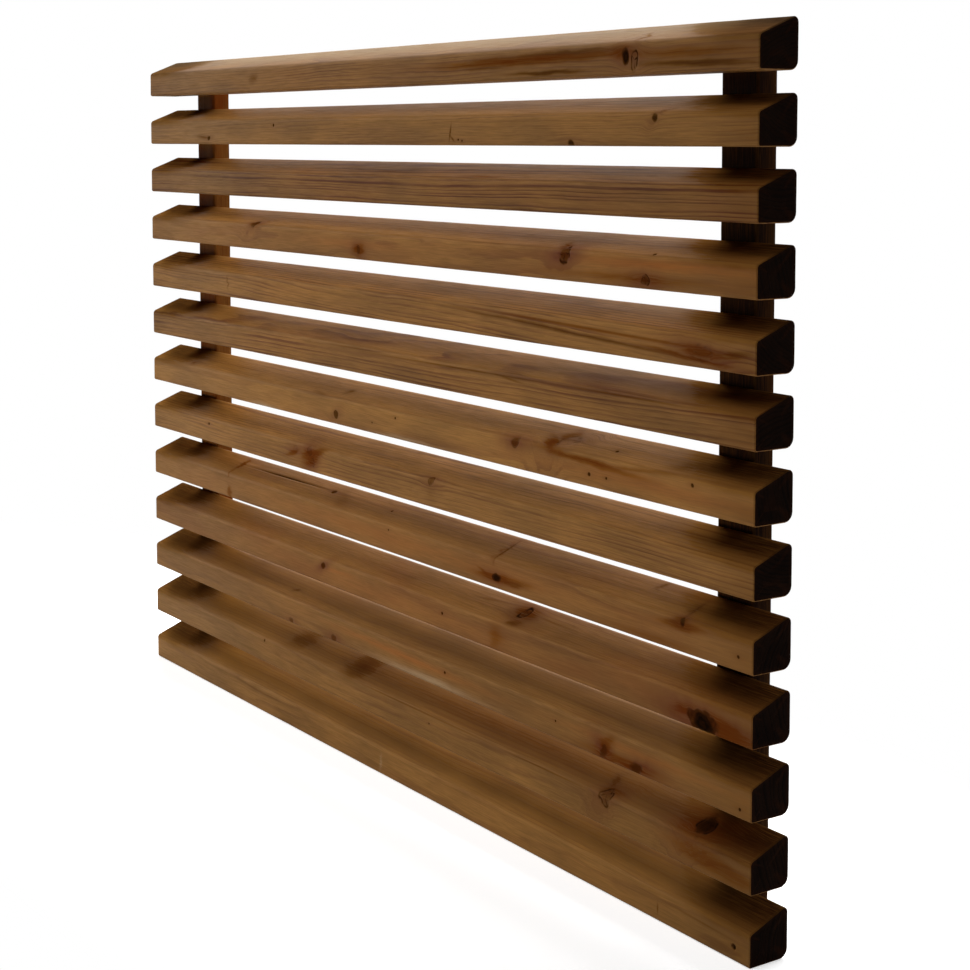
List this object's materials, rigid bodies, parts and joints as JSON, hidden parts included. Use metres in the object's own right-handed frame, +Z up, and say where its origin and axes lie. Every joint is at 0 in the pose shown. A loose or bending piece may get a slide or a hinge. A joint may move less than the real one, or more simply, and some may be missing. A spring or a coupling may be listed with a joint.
{
  "type": "fence panel",
  "caption": "Open slatted garden fence panel: level softwood slats with rain-shedding sloped tops and rounded edges, screwed from behind to a pair of uprights.",
  "frame": {"origin": "middle of the panel's box, at the level that it stands on", "axes": "+X along the slats to the right seen from the front, -Y out of the front, +Z up"},
  "size_m": [1.2, 0.069, 0.8136],
  "materials": {
    "slat_wood": "brown pressure-treated planed pine, matt",
    "upright_wood": "darker brown pressure-treated pine batten, matt",
    "screw_steel": "yellow-passivated steel, slightly dulled"
  },
  "bodies": {
    "root": {"slat_01": "slat_wood", "slat_02": "slat_wood", "slat_03": "slat_wood", "slat_04": "slat_wood", "slat_05": "slat_wood", "slat_06": "slat_wood", "slat_07": "slat_wood", "slat_08": "slat_wood", "slat_09": "slat_wood", "slat_10": "slat_wood", "slat_11": "slat_wood", "slat_12": "slat_wood", "slat_13": "slat_wood", "left_upright": "upright_wood", "right_upright": "upright_wood", "left_outer_screws": "screw_steel", "left_inner_screws": "screw_steel", "right_outer_screws": "screw_steel", "right_inner_screws": "screw_steel"}
  },
  "joints": []
}
